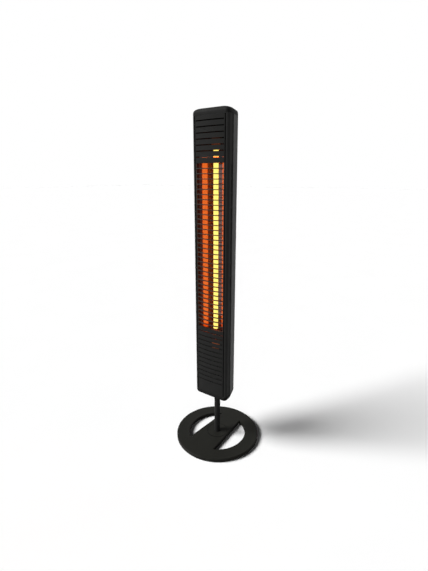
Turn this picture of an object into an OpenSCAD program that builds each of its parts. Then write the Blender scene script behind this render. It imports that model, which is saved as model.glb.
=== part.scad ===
// Infrared patio heater tower: a slim slatted heater head on a pole and a round
// base plate. Millimetres. The front faces -Y, Z points up, and the origin is on
// the floor under the pole.

/* [Base] */
// Diameter of the round base plate
base_d = 300; // [285:1:340]
// Thickness of the base plate
base_t = 13; // [12:0.5:18]
// Radius of the plate's rounded rim edges
base_edge_r = 2.5; // [1:0.5:4]
// Radius of the circle that bounds both cut-outs
cut_r = 103.5; // [95:0.5:112]
// Distance from the pole to the right cut-out's straight side
cut_right = 42; // [41.5:0.5:50]
// Distance from the pole to the left cut-out's straight side
cut_left = 51; // [42:0.5:58]
// Lean of the left cut-out's straight side, in degrees
cut_left_lean = 7; // [0:1:10]
// Diameter of the rubber pads under the plate
pad_d = 18; // [12:1:24]
// How far the pads hold the plate off the floor
pad_proud = 1.5; // [1:0.25:2.5]

/* [Pole] */
// Outer diameter of the pole
pole_d = 21; // [19:0.5:24]
// Wall of the pole
pole_wall = 2.25; // [1.5:0.25:3]
// Length of pole in sight between plate and head
pole_sight = 162.5; // [120:0.5:260]
// Diameter of the hub disc let into the plate round the pole
hub_d = 76; // [72:1:80]

/* [Head] */
// Width of the casing
body_w = 128; // [122:1:140]
// Distance from the pole's axis to the front rims
front_y = 45; // [43:0.5:50]
// Distance from the pole's axis to the back
back_y = 40; // [38:0.5:46]
// Length of the casing without its end caps
casing_len = 899; // [860:1:960]
// Height of each end cap
cap_h = 21; // [18:0.5:28]
// Wall of the casing
wall = 2; // [1.6:0.1:2.4]
// Radius of the casing's front corners
front_r = 11.5; // [10:0.5:13]
// Radius of the casing's back corners
back_r = 15; // [10:0.5:18]
// Distance in front of the pole's axis where the sides start to taper
taper_start = 17; // [14:0.5:20]
// Taper of the back half's sides, in degrees
taper = 17; // [12:0.5:19]
// Depth of the long channel in each side
channel_depth = 1.5; // [1:0.25:2]

/* [Front] */
// Width of each rim beside the front opening
rim_w = 8.5; // [8:0.5:11]
// Share of the casing's length that the window takes
window_share = 0.584; // [0.5:0.01:0.62]
// Share of the casing's length that the lower slatted panel takes
lower_panel_share = 0.2709; // [0.25:0.005:0.3]
// Pitch of the guard bars
bar_pitch = 15; // [14.5:0.25:15.5]
// Height of one guard bar
bar_h = 2.6; // [2:0.2:3.4]
// Depth of one guard bar
bar_depth = 5; // [4:0.25:5.25]
// How far the guard bars bow forward at their middle
bar_bow = 8.5; // [6:0.5:10]
// How far the slatted panels bow forward at their middle
panel_bow = 3.4; // [2:0.2:5]
// Thickness of the slatted panels
panel_t = 2; // [1.6:0.1:2.4]
// Pitch of the slots in the panels
slot_pitch = 16.6; // [15:0.1:17]
// Height of one slot
slot_h = 3.2; // [2.4:0.2:4]

/* [Lamp] */
// Outer diameter of the quartz tube
tube_d = 18.5; // [16:0.5:20]
// Wall of the quartz tube
tube_wall = 1; // [0.8:0.1:1.4]
// Distance of the lamp's axis in front of the pole's axis
lamp_y = 11; // [9:0.5:13]
// Share of the body's width that the reflector's flat back takes
reflector_back_share = 0.364; // [0.34:0.01:0.4]
// Share of the body's width that the reflector's mouth takes
reflector_front_share = 0.6875; // [0.65:0.0125:0.7]
// Thickness of the reflector sheet
reflector_t = 0.8; // [0.6:0.1:1.2]

/* [Controls] */
// Height of the rocker switch above the casing's lower end
switch_rise = 132; // [128:1:150]
// Tilt of the rocker to either side, in degrees
rocker_tilt = 7; // [5:0.5:8]
// Height of the cable gland above the casing's lower end
gland_rise = 82; // [78:1:95]

/* [Hidden] */

// Clearances and the overrun of every cut
over = 1;
fit_gap = 0.3;
seat_gap = 0.1;
hinge_gap = 0.08;
thread_gap = 0.1;
round_fn = 72;
shallow_fn = 720;

// Base and hub
plate_z0 = pad_proud;
plate_top = plate_z0 + base_t;
pad_sunk = 1.5;
pad_count = 6;
pad_margin = 9;
pad_ring_r = base_d / 2 - pad_d / 2 - pad_margin;
cut_right_lean = 1;
hub_flange_t = 6;
hub_ledge_z = plate_top - hub_flange_t;
hub_seam = 0.8;
hub_spigot_d = 55.4;
hub_raise = 0.5;
hub_z0 = plate_z0 + hub_raise;
pole_seat_depth = 3.5;
pole_seat_z = plate_top - pole_seat_depth;
bolt_r = 4.8;
bolt_head_af = 16;
bolt_head_h = 5.8;
bolt_recess_r = 10.5;
bolt_len = 25;
bolt_set_back = 0.4;
bolt_head_top = hub_z0 + bolt_set_back + bolt_head_h;
hub_screw_r = 2.4;
hub_screw_head_r = 4.2;
hub_screw_head_h = 3.6;
hub_screw_ring = (hub_d / 2 + hub_spigot_d / 2) / 2;
hub_screw_cover = 2;
hub_screw_top = plate_top - hub_screw_cover;
hub_screw_count = 4;
hub_screw_seat = plate_z0 + hub_raise + hub_screw_head_h;
plug_len = 25;

// Levels of the head
cap_z0 = plate_top + pole_sight;
gasket_t = 1;
gasket_set_back = 0.4;
gasket_w = 1.4;
seam_low = cap_z0 + cap_h;
casing_z0 = seam_low + gasket_t;
casing_z1 = casing_z0 + casing_len;
seam_high = casing_z1 + gasket_t;
head_top = seam_high + cap_h;

// Outline of the head
body_hw = body_w / 2;
taper_dir = [cos(taper), sin(taper)];
taper_reach = taper_dir * [body_hw, -taper_start];
least_r = 0.5;
mid_y = (back_y - front_y) / 2;
cap_power = 3.8;
cap_level_shares = [0, 0.1, 0.22, 0.34, 0.46, 0.57, 0.67, 0.76, 0.84, 0.9, 0.95, 0.98, 0.994, 1];
cap_crown_share = 0.12;
cap_slice_share = 0.001;
corner_steps = 9;
channel_offset = 0.5;
channel_y0 = -front_y + front_r + channel_offset;
channel_y1 = -taper_start;

// Front opening, lips and ledges of the casing
open_hw = body_hw - rim_w;
open_w = 2 * open_hw;
lip_t = 2;
ledge_drop = 7;
ledge_y = -front_y + ledge_drop;
ledge_t = 2;
ledge_w = 6;
port_r = 4;
port_hole_r = 2;
port_sunk = 0.7;
port_set_back = 2.5;
port_front = [body_hw - channel_depth - wall - port_r + port_sunk, channel_y0 + port_set_back];
inner_back_r = back_r - wall;
port_back = back_centre(wall) + (inner_back_r + port_sunk - port_r) * [cos(45), sin(45)];
vent_pitch = 42.3;
vent_run_share = 0.806;
vent_len = 38;
vent_w = 3;
vent_shift = 3;
vent_y = (channel_y0 + channel_y1) / 2 + vent_shift;

// Window and panels
insert_gap = 4;
insert_hw = open_hw - insert_gap;
insert_set_back = 0.8;
insert_face = -front_y + insert_set_back;
bar_set_back = 0.5;
bar_count = round(casing_len * window_share / bar_pitch) - 1;
window_h = (bar_count + 1) * bar_pitch;
lower_panel_h = casing_len * lower_panel_share;
window_z0 = casing_z0 + lower_panel_h;
window_z1 = window_z0 + window_h;
rail_w = 3;
rail_end_gap = 0.6;
slot_edge_lower = 14.5;
slot_edge_upper = 17.3;
slot_foot_lower = 40;
slot_foot_upper = 12;
lower_slots = 1 + floor((lower_panel_h - slot_edge_lower - slot_foot_lower) / slot_pitch);
upper_slots = 1 + floor((casing_z1 - window_z1 - slot_edge_upper - slot_foot_upper) / slot_pitch);
slot_margin = 0.2;

vent_count = round(window_h * vent_run_share / vent_pitch);

// Reflector and lamp
reflector_back_w = body_w * reflector_back_share;
reflector_front_w = body_w * reflector_front_share;
reflector_y0 = ledge_y + ledge_t;
reflector_depth = 51;
reflector_y1 = reflector_y0 + reflector_depth;
flange_gap = 0.7;
reflector_flange_x = port_front.x - port_r - flange_gap;
end_plate_t = 1.2;
end_plate_hole_r = tube_d / 2 + 3;
trough_under = 34;
trough_over = slot_edge_upper + end_plate_t;
trough_z0 = window_z0 - trough_under;
trough_z1 = window_z1 + trough_over;
tube_below = 70.5;
tube_above = 56.5;
tube_z0 = window_z0 - tube_below;
tube_z1 = window_z1 + tube_above;
socket_r = 13;
socket_h = 26;
socket_depth = 12;
tube_end_gap = 1;
socket_z0 = tube_z0 - tube_end_gap - (socket_h - socket_depth);
socket_z1 = tube_z1 + tube_end_gap + (socket_h - socket_depth);
element_gap = 0.15;
element_r = tube_d / 2 - tube_wall - element_gap;
element_under = 24;
element_above = 42;
pin_r = 1.2;
bracket_t = 2;
bracket_hw = 15;
bracket_reach = 15;
lead_r = 1.6;
lead_bulge = 0.1;
lead_wall_gap = 14;
lead_set_back = 10;
lead_y = back_y - wall - lead_set_back;
lead_x = (taper_reach - wall - taper_dir.y * lead_y) / taper_dir.x - lead_wall_gap;
lead_hole_gap = 1;

// Pole block inside the head
block_h = 45;
block_r = 16;
block_rib_hw = 8;
block_pad_hw = 20;
block_pad_t = 6;
block_z0 = seam_low;
pole_short = 3;
pole_top = block_z0 + block_h - pole_short;
block_screw_r = 2.9;
block_screw_head_r = 5.5;
block_screw_head_h = 3.3;
block_screw_len = 22;
block_screw_edge = 12;
grub_r = 2.9;
grub_z = block_z0 + block_h / 2;

// Chassis and electronics
chassis_t = 1.5;
chassis_set_back = 24;
chassis_y = back_y - wall - chassis_set_back;
chassis_rise = 52;
chassis_gap = 6;
chassis_z0 = casing_z0 + chassis_rise;
chassis_z1 = trough_z0 - chassis_gap;
board_w_share = 0.547;
board_w = body_w * board_w_share;
board_gap = 3;
board_t = 1.6;
board_lift = 7;
board_rise = 10;
board_z0 = chassis_z0 + board_rise;
board_h = socket_z0 - bracket_t - socket_r - board_gap - board_z0;
relay_h_share = 0.28;
sink_h_share = 0.41;
standoff_r = 3;
board_inset = 6;
relay_size = [18, 14, board_h * relay_h_share];
choke_r = 7;
choke_h = 12;
choke_set_back = 17;
choke_z = board_z0 + board_h - choke_set_back;
sink_size = [30, 10, board_h * sink_h_share];
sink_rise = 2;
sink_back_t = 4;
fin_t = 1;
fin_count = 6;
terminal_w_share = 0.17;
terminal_size = [body_w * terminal_w_share, 16, 24];
terminal_rise = 2;
terminal_z0 = tube_z0 + terminal_rise;
terminal_ways = 3;
terminal_screw_r = 2.2;
terminal_screw_shares = [0.25, 0.75];
tilt_r = 6;
tilt_h = 18;
tilt_x = -lead_x;

// Rocker switch
switch_z = casing_z0 + switch_rise;
switch_body = [21.6, 20, 29.6];
bezel_w = 25;
bezel_h = 33;
bezel_t = 2.2;
bezel_r = 2.5;
rocker_hw = 8.7;
rocker_r = 12.1;
rocker_back = 4;
rocker_face = 4.6;
rocker_dip = 1.6;
rocker_sunk = 1.6;
rocker_axis_y = back_y - rocker_sunk;
rocker_gap = 0.3;
rocker_pocket = 7;
trunnion_r = 1.5;
trunnion_len = 1.2;

// Cable gland
gland_z = casing_z0 + gland_rise;
gland_thread_r = 8;
gland_inner_len = 12;
gland_hex_af = 22;
gland_hex_t = 6;
gland_nose_r = 10;
gland_nose_len = 12;
gland_bore_r = 6.5;
cord_r = 4;
seal_len = 14;
locknut_t = 4;

// Cap screws
cap_screw_r = 1.9;
cap_screw_head_r = 3.6;
cap_screw_head_h = 2.6;
cap_screw_grip = 12;
cap_screw_bite = 14;
bottom_screw_spots = [port_front, port_back];
top_screw_spots = [port_back];
tab_h = 5;
tab_t = 2;
tab_w = 10;

// Colours
steel_black = [0.13, 0.13, 0.125];
shell_black = [0.17, 0.17, 0.165];
plastic_black = [0.15, 0.15, 0.15];
rubber_black = [0.06, 0.06, 0.06];
zinc = [0.72, 0.73, 0.75];
ceramic = [0.9, 0.88, 0.82];
glow = [1, 0.75, 0.25];

// Centres of the outline's corner circles at an inset d from the skin
function front_round(d) = max(front_r - d, least_r);
function back_round(d) = max(back_r - d, least_r);
function front_centre(d) = [body_hw - d - front_round(d), -front_y + d + front_round(d)];
function back_centre(d) = let (cy = back_y - d - back_round(d))
    [(taper_reach - d - back_round(d) - taper_dir.y * cy) / taper_dir.x, cy];
function bend_point(d) = [body_hw - d, (taper_reach - d - taper_dir.x * (body_hw - d)) / taper_dir.y];
function mirror_x(points) = [for (i = [len(points) - 1:-1:0]) [-points[i].x, points[i].y]];
function arc_points(c, r, a0, a1) = [for (i = [0:corner_steps])
    let (a = a0 + (a1 - a0) * i / corner_steps) c + r * [cos(a), sin(a)]];
function half_outline(d) = concat(
    arc_points(front_centre(d), front_round(d), -90, 0),
    [bend_point(d)],
    arc_points(back_centre(d), back_round(d), taper, 90));
// Radius of an arc with a given half chord and rise
function bow_radius(half, rise) = (half * half + rise * rise) / (2 * rise);
// Across-flats size to the radius of a six-sided cylinder
function hex_radius(af) = af / 2 / cos(30);

module both_sides() {
    children();
    mirror([1, 0, 0]) children();
}

// The head's plan outline with true round corners, d inside its skin
module outline(d) {
    half = [[front_centre(d).x, -front_y + d], [body_hw - d, front_centre(d).y], bend_point(d),
        back_centre(d) + back_round(d) * taper_dir, [back_centre(d).x, back_y - d]];
    polygon(concat(half, mirror_x(half)));
    both_sides() {
        translate(front_centre(d)) circle(r = front_round(d), $fn = round_fn);
        translate(back_centre(d)) circle(r = back_round(d), $fn = round_fn);
    }
}

// The outline less its two side channels, each sunk by the channel's depth
module channelled(d) {
    difference() {
        outline(d);
        both_sides() translate([body_hw - channel_depth - d, channel_y0 - d])
            square([channel_depth + d + over, channel_y1 - channel_y0 + 2 * d]);
    }
}

// A band that bows forward: chord ends at |x| = half on the line y = face
module bowed_band(half, face, rise, depth) {
    r = bow_radius(half, rise);
    intersection() {
        translate([0, face - rise + r]) difference() {
            circle(r = r, $fn = shallow_fn);
            circle(r = r - depth, $fn = shallow_fn);
        }
        translate([-half, face - rise - over]) square([2 * half, rise + depth + over]);
    }
}

// Base

module cut_outs() {
    reach = cut_r + over;
    intersection() {
        circle(r = cut_r, $fn = 2 * round_fn);
        union() {
            polygon([[cut_right - reach * tan(cut_right_lean), reach], [reach, reach],
                [reach, -reach], [cut_right + reach * tan(cut_right_lean), -reach]]);
            polygon([[-cut_left + reach * tan(cut_left_lean), reach], [-reach, reach],
                [-reach, -reach], [-cut_left - reach * tan(cut_left_lean), -reach]]);
        }
    }
}

module plate_section() {
    r = base_d / 2;
    translate([0, plate_z0]) square([r - base_edge_r, base_t]);
    translate([0, plate_z0 + base_edge_r]) square([r, base_t - 2 * base_edge_r]);
    for (z = [plate_z0 + base_edge_r, plate_top - base_edge_r])
        translate([r - base_edge_r, z]) circle(r = base_edge_r, $fn = round_fn);
}

module at_pads() {
    for (i = [0:pad_count - 1])
        rotate(360 / pad_count * (i + 0.5)) translate([pad_ring_r, 0, 0]) children();
}

module at_hub_screws() {
    for (i = [0:hub_screw_count - 1])
        rotate(360 / hub_screw_count * (i + 0.5)) translate([hub_screw_ring, 0, 0]) children();
}

module base_plate() {
    color(steel_black) difference() {
        rotate_extrude($fn = 2 * round_fn) plate_section();
        translate([0, 0, plate_z0 - over]) linear_extrude(base_t + 2 * over) cut_outs();
        translate([0, 0, hub_ledge_z])
            cylinder(r = hub_d / 2 + hub_seam, h = hub_flange_t + over, $fn = round_fn);
        translate([0, 0, plate_z0 - over])
            cylinder(r = hub_spigot_d / 2 + fit_gap, h = base_t, $fn = round_fn);
        at_pads() translate([0, 0, plate_z0 - over])
            cylinder(r = pad_d / 2 + fit_gap, h = pad_sunk + over, $fn = round_fn);
        at_hub_screws() {
            translate([0, 0, plate_z0 - over])
                cylinder(r = hub_screw_r + fit_gap, h = base_t, $fn = round_fn);
            translate([0, 0, plate_z0 - over])
                cylinder(r = hub_screw_head_r + fit_gap, h = hub_screw_seat - plate_z0 + over,
                    $fn = round_fn);
        }
    }
}

module foot_pads() {
    color(rubber_black) at_pads()
        cylinder(r = pad_d / 2, h = pad_proud + pad_sunk, $fn = round_fn);
}

module pole_hub() {
    color(steel_black) difference() {
        union() {
            translate([0, 0, hub_ledge_z])
                cylinder(r = hub_d / 2, h = hub_flange_t, $fn = round_fn);
            translate([0, 0, hub_z0])
                cylinder(r = hub_spigot_d / 2, h = plate_top - hub_z0, $fn = round_fn);
        }
        translate([0, 0, pole_seat_z])
            cylinder(r = pole_d / 2 + seat_gap, h = base_t, $fn = round_fn);
        translate([0, 0, hub_z0 - over])
            cylinder(r = bolt_recess_r, h = bolt_head_top - hub_z0 + over, $fn = round_fn);
        translate([0, 0, hub_z0]) cylinder(r = bolt_r + fit_gap, h = base_t, $fn = round_fn);
        at_hub_screws() translate([0, 0, hub_ledge_z - over])
            cylinder(r = hub_screw_r + thread_gap, h = hub_screw_top - hub_ledge_z + over,
                $fn = round_fn);
    }
}

module hub_screws() {
    color(zinc) at_hub_screws() {
        translate([0, 0, plate_z0 + hub_raise])
            cylinder(r = hub_screw_head_r, h = hub_screw_head_h, $fn = round_fn);
        translate([0, 0, plate_z0 + hub_raise])
            cylinder(r = hub_screw_r, h = hub_screw_top - plate_z0 - 2 * hub_raise, $fn = round_fn);
    }
}

module pole_bolt() {
    color(zinc) {
        translate([0, 0, bolt_head_top - bolt_head_h])
            cylinder(r = hex_radius(bolt_head_af), h = bolt_head_h, $fn = 6);
        translate([0, 0, bolt_head_top - bolt_head_h])
            cylinder(r = bolt_r, h = bolt_head_h + bolt_len, $fn = round_fn);
    }
}

module pole_foot_plug() {
    color(zinc) translate([0, 0, pole_seat_z]) difference() {
        cylinder(r = pole_d / 2 - pole_wall - seat_gap, h = plug_len, $fn = round_fn);
        translate([0, 0, -over])
            cylinder(r = bolt_r + thread_gap, h = plug_len + 2 * over, $fn = round_fn);
    }
}

module pole() {
    color(steel_black) translate([0, 0, pole_seat_z]) difference() {
        cylinder(r = pole_d / 2, h = pole_top - pole_seat_z, $fn = round_fn);
        translate([0, 0, -over]) cylinder(r = pole_d / 2 - pole_wall,
            h = pole_top - pole_seat_z + 2 * over, $fn = round_fn);
    }
}

// Pole block: a cast socket with a rib and a pad against the casing's back

module at_block_screws() {
    for (z = [block_z0 + block_screw_edge, block_z0 + block_h - block_screw_edge])
        translate([0, back_y, z]) rotate([90, 0, 0]) children();
}

module pole_block() {
    pad_y = back_y - wall;
    color(zinc) difference() {
        translate([0, 0, block_z0]) linear_extrude(block_h) difference() {
            union() {
                circle(r = block_r, $fn = round_fn);
                translate([-block_rib_hw, 0]) square([2 * block_rib_hw, pad_y]);
                translate([-block_pad_hw, pad_y - block_pad_t])
                    square([2 * block_pad_hw, block_pad_t]);
            }
            circle(r = pole_d / 2 + seat_gap, $fn = round_fn);
        }
        at_block_screws()
            cylinder(r = block_screw_r + thread_gap, h = block_screw_len + over, $fn = round_fn);
        translate([0, 0, grub_z]) rotate([0, 90, 0])
            cylinder(r = grub_r + thread_gap, h = block_r + over, $fn = round_fn);
    }
}

module block_screws() {
    color(zinc) at_block_screws() {
        cylinder(r = block_screw_r, h = block_screw_len, $fn = round_fn);
        translate([0, 0, -block_screw_head_h])
            cylinder(r = block_screw_head_r, h = block_screw_head_h, $fn = round_fn);
    }
}

module pole_grub_screw() {
    color(zinc) translate([pole_d / 2 + seat_gap / 2, 0, grub_z]) rotate([0, 90, 0])
        cylinder(r = grub_r, h = block_r - pole_d / 2 - seat_gap, $fn = round_fn);
}

// Casing: one extrusion with tapered back, side channels, lips, ledges and screw ports

module ports(r) {
    both_sides() {
        translate(port_front) circle(r = r, $fn = round_fn);
        translate(port_back) circle(r = r, $fn = round_fn);
    }
}

module casing_section() {
    difference() {
        union() {
            difference() {
                channelled(0);
                channelled(wall);
            }
            intersection() {
                outline(0);
                both_sides() {
                    translate([open_hw, -front_y]) square([lip_t, ledge_drop + ledge_t]);
                    translate([open_hw - ledge_w, ledge_y]) square([ledge_w + lip_t, ledge_t]);
                }
            }
            intersection() {
                outline(wall / 2);
                ports(port_r);
            }
        }
        translate([-open_hw, -front_y - over]) square([open_w, ledge_drop + over]);
        ports(port_hole_r);
    }
}

module casing() {
    color(shell_black) difference() {
        translate([0, 0, casing_z0]) linear_extrude(casing_len) casing_section();
        both_sides() for (i = [0:vent_count - 1])
            translate([body_hw - channel_depth - wall - over, vent_y - vent_w / 2,
                window_z1 - vent_pitch * (i + 0.5) - vent_len / 2])
                cube([wall + 2 * over, vent_w, vent_len]);
        at_block_screws() translate([0, 0, -over])
            cylinder(r = block_screw_r + fit_gap, h = wall + 2 * over, $fn = round_fn);
        translate([0, back_y + over, gland_z]) rotate([90, 0, 0])
            cylinder(r = gland_thread_r + fit_gap, h = wall + 2 * over, $fn = round_fn);
        translate([-switch_body.x / 2 - fit_gap, back_y - wall - over,
            switch_z - switch_body.z / 2 - fit_gap])
            cube([switch_body.x + 2 * fit_gap, wall + 2 * over, switch_body.z + 2 * fit_gap]);
    }
}

// End caps: domes whose plan is the head's outline drawn in level by level

module cap_dome() {
    outline_points = concat(half_outline(0), mirror_x(half_outline(0)));
    slice = cap_h * cap_slice_share;
    hull() for (share = cap_level_shares) {
        spread = pow(1 - pow(share, cap_power), 1 / cap_power);
        translate([0, mid_y, share * (cap_h - slice)]) linear_extrude(slice)
            polygon([for (p = outline_points) (p - [0, mid_y]) * max(spread, cap_crown_share)]);
    }
}

module cap_tabs() {
    both_sides() translate([block_pad_hw + over, back_y - wall - fit_gap - tab_t, -tab_h])
        cube([tab_w, tab_t, tab_h + over]);
    both_sides() translate([body_hw - channel_depth - wall - fit_gap - tab_t,
        port_front.y + port_r + fit_gap + over, -tab_h])
        cube([tab_t, channel_y1 - port_front.y - port_r - wall - over, tab_h + over]);
}

module at_ports(spots) {
    both_sides() for (p = spots) translate(p) children();
}

// A cap with its seam face on z = 0 and its dome upwards
module end_cap(spots) {
    difference() {
        union() {
            cap_dome();
            cap_tabs();
        }
        at_ports(spots) {
            translate([0, 0, -over])
                cylinder(r = cap_screw_r + fit_gap, h = cap_h + over, $fn = round_fn);
            translate([0, 0, cap_screw_grip])
                cylinder(r = cap_screw_head_r + fit_gap, h = cap_h, $fn = round_fn);
        }
    }
}

// Screws for a cap whose seam face is on z = 0
module cap_screw_set(spots) {
    color(zinc) at_ports(spots) {
        translate([0, 0, -cap_screw_bite])
            cylinder(r = cap_screw_r, h = cap_screw_bite + cap_screw_grip, $fn = round_fn);
        translate([0, 0, cap_screw_grip])
            cylinder(r = cap_screw_head_r, h = cap_screw_head_h, $fn = round_fn);
    }
}

module on_top() {
    translate([0, 0, seam_high]) children();
}

module at_bottom() {
    translate([0, 0, seam_low]) mirror([0, 0, 1]) children();
}

module bottom_cap() {
    color(plastic_black) difference() {
        at_bottom() end_cap(bottom_screw_spots);
        translate([0, 0, cap_z0 - over])
            cylinder(r = pole_d / 2 + fit_gap, h = cap_h + 2 * over, $fn = round_fn);
    }
}

module top_cap() {
    color(plastic_black) on_top() end_cap(top_screw_spots);
}

module bottom_cap_screws() {
    at_bottom() cap_screw_set(bottom_screw_spots);
}

module top_cap_screws() {
    on_top() cap_screw_set(top_screw_spots);
}

module gasket() {
    color(rubber_black) linear_extrude(gasket_t) difference() {
        channelled(gasket_set_back);
        channelled(gasket_set_back + gasket_w);
    }
}

module bottom_gasket() {
    translate([0, 0, seam_low]) gasket();
}

module top_gasket() {
    translate([0, 0, casing_z1]) gasket();
}

// Front inserts: slatted panels above and below the window, guard bars in it

module panel_shell(z0, z1) {
    translate([0, 0, z0]) linear_extrude(z1 - z0) {
        bowed_band(insert_hw, insert_face, panel_bow, panel_t);
        both_sides() translate([insert_hw - panel_t, insert_face]) square([panel_t, ledge_y - insert_face]);
    }
    for (z = [z0, z1 - panel_t]) translate([0, 0, z]) linear_extrude(panel_t)
        intersection() {
            bowed_band(insert_hw, insert_face, panel_bow, panel_bow + ledge_drop);
            translate([-insert_hw, -front_y - bar_bow]) square([2 * insert_hw, bar_bow + ledge_drop]);
        }
}

module slot_cuts(count, first_z) {
    half = insert_hw - panel_t - slot_margin;
    for (i = [0:count - 1]) translate([-half, insert_face - panel_bow - over, first_z + i * slot_pitch - slot_h / 2])
        cube([2 * half, panel_bow + panel_t + 2 * over, slot_h]);
}

module upper_panel() {
    color(shell_black) difference() {
        panel_shell(window_z1, casing_z1 - rail_end_gap);
        slot_cuts(upper_slots, window_z1 + slot_edge_upper);
    }
}

module lower_panel() {
    color(shell_black) difference() {
        panel_shell(casing_z0 + rail_end_gap, window_z0);
        slot_cuts(lower_slots, window_z0 - slot_edge_lower - (lower_slots - 1) * slot_pitch);
    }
}

module guard_grille() {
    bar_hw = insert_hw - rail_w;
    color(shell_black) {
        both_sides() translate([bar_hw, insert_face, window_z0 + rail_end_gap])
            cube([rail_w, ledge_y - insert_face, window_h - 2 * rail_end_gap]);
        for (i = [1:bar_count]) translate([0, 0, window_z0 + i * bar_pitch - bar_h / 2])
            linear_extrude(bar_h) bowed_band(insert_hw - rail_w / 2, insert_face + bar_set_back, bar_bow, bar_depth);
    }
}

// Reflector trough and its end plates

// The right half of the trough's outline, from its mouth round the flange to its back
function trough_side() = let (
    slope = (reflector_front_w - reflector_back_w) / 2 / reflector_depth,
    skin = reflector_t * (sqrt(1 + slope * slope) - slope))
    [[reflector_front_w / 2, reflector_y0], [reflector_flange_x, reflector_y0],
        [reflector_flange_x, reflector_y0 + reflector_t],
        [reflector_front_w / 2 + skin, reflector_y0 + reflector_t],
        [reflector_back_w / 2 + skin, reflector_y1 + reflector_t]];

module reflector() {
    inside = [[-reflector_back_w / 2, reflector_y1], [reflector_back_w / 2, reflector_y1]];
    color(steel_black) translate([0, 0, trough_z0 + end_plate_t])
        linear_extrude(trough_z1 - trough_z0 - 2 * end_plate_t)
        polygon(concat(trough_side(), mirror_x(trough_side()), inside));
}

module reflector_end_plates() {
    color(steel_black) for (z = [trough_z0, trough_z1 - end_plate_t]) translate([0, 0, z])
        linear_extrude(end_plate_t) difference() {
            polygon(concat(trough_side(), mirror_x(trough_side())));
            translate([0, -lamp_y]) circle(r = end_plate_hole_r, $fn = round_fn);
        }
}

// Lamp

module on_lamp_axis() {
    translate([0, -lamp_y, 0]) children();
}

module quartz_tube() {
    color(glow, 0.6) on_lamp_axis() translate([0, 0, tube_z0]) difference() {
        cylinder(r = tube_d / 2, h = tube_z1 - tube_z0, $fn = round_fn);
        translate([0, 0, -over])
            cylinder(r = tube_d / 2 - tube_wall, h = tube_z1 - tube_z0 + 2 * over, $fn = round_fn);
    }
}

module heating_element() {
    z0 = tube_z0 - tube_end_gap;
    z1 = tube_z1 + tube_end_gap;
    color(glow) on_lamp_axis() {
        translate([0, 0, window_z0 - element_under])
            cylinder(r = element_r, h = window_h + element_under + element_above, $fn = round_fn);
        translate([0, 0, z0]) cylinder(r = pin_r, h = z1 - z0, $fn = round_fn);
    }
}

module lamp_socket() {
    difference() {
        cylinder(r = socket_r, h = socket_h, $fn = round_fn);
        translate([0, 0, socket_h - socket_depth])
            cylinder(r = tube_d / 2 + fit_gap, h = socket_depth + over, $fn = round_fn);
    }
}

module lamp_sockets() {
    color(ceramic) on_lamp_axis() {
        translate([0, 0, socket_z0]) lamp_socket();
        translate([0, 0, socket_z1]) mirror([0, 0, 1]) lamp_socket();
    }
}

module socket_brackets() {
    front = -lamp_y - bracket_reach;
    color(zinc) {
        translate([-bracket_hw, front, socket_z0 - bracket_t])
            cube([2 * bracket_hw, chassis_y - front, bracket_t]);
        translate([-bracket_hw, chassis_y - bracket_t, socket_z0 - bracket_t - socket_r])
            cube([2 * bracket_hw, bracket_t, socket_r + bracket_t]);
        translate([-bracket_hw, front, socket_z1])
            cube([2 * bracket_hw, back_y - wall - front, bracket_t]);
        translate([-bracket_hw, back_y - wall - bracket_t, socket_z1 - socket_r])
            cube([2 * bracket_hw, bracket_t, socket_r + bracket_t]);
    }
}

module wire(points) {
    for (i = [0:len(points) - 2]) {
        run = points[i + 1] - points[i];
        translate(points[i]) rotate([0, acos(run.z / norm(run)), atan2(run.y, run.x)])
            cylinder(r = lead_r, h = norm(run), $fn = round_fn / 3);
        if (i > 0) translate(points[i]) sphere(r = lead_r + lead_bulge, $fn = round_fn / 3);
    }
}

module lamp_leads() {
    high = socket_z1 - socket_h / 4;
    low = terminal_z0 + terminal_size.z / 4;
    color("firebrick") {
        wire([[socket_r + seat_gap, -lamp_y, high], [lead_x, -lamp_y, high], [lead_x, lead_y, high],
            [lead_x, lead_y, terminal_z0 + terminal_size.z / 2],
            [lead_x, chassis_y + seat_gap, terminal_z0 + terminal_size.z / 2]]);
        wire([[socket_r + seat_gap, -lamp_y, low], [lead_x, -lamp_y, low],
            [lead_x, chassis_y - terminal_size.y - seat_gap, low]]);
    }
}

// Chassis plate with standoffs, and what it carries

chassis_hw = (taper_reach - wall - taper_dir.y * (chassis_y + chassis_t)) / taper_dir.x - fit_gap;

module at_standoffs() {
    for (x = [-1, 1], z = [board_z0 + board_inset, board_z0 + board_h - board_inset])
        translate([x * (board_w / 2 - board_inset), chassis_y, z]) rotate([90, 0, 0]) children();
}

module chassis_plate() {
    color(zinc) difference() {
        union() {
            translate([-chassis_hw, chassis_y, chassis_z0])
                cube([2 * chassis_hw, chassis_t, chassis_z1 - chassis_z0]);
            at_standoffs() cylinder(r = standoff_r, h = board_lift, $fn = round_fn);
        }
        translate([lead_x, chassis_y + chassis_t + over, terminal_z0 + terminal_size.z / 2])
            rotate([90, 0, 0]) cylinder(r = lead_r + lead_hole_gap, h = chassis_t + 2 * over, $fn = round_fn);
    }
}

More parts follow.
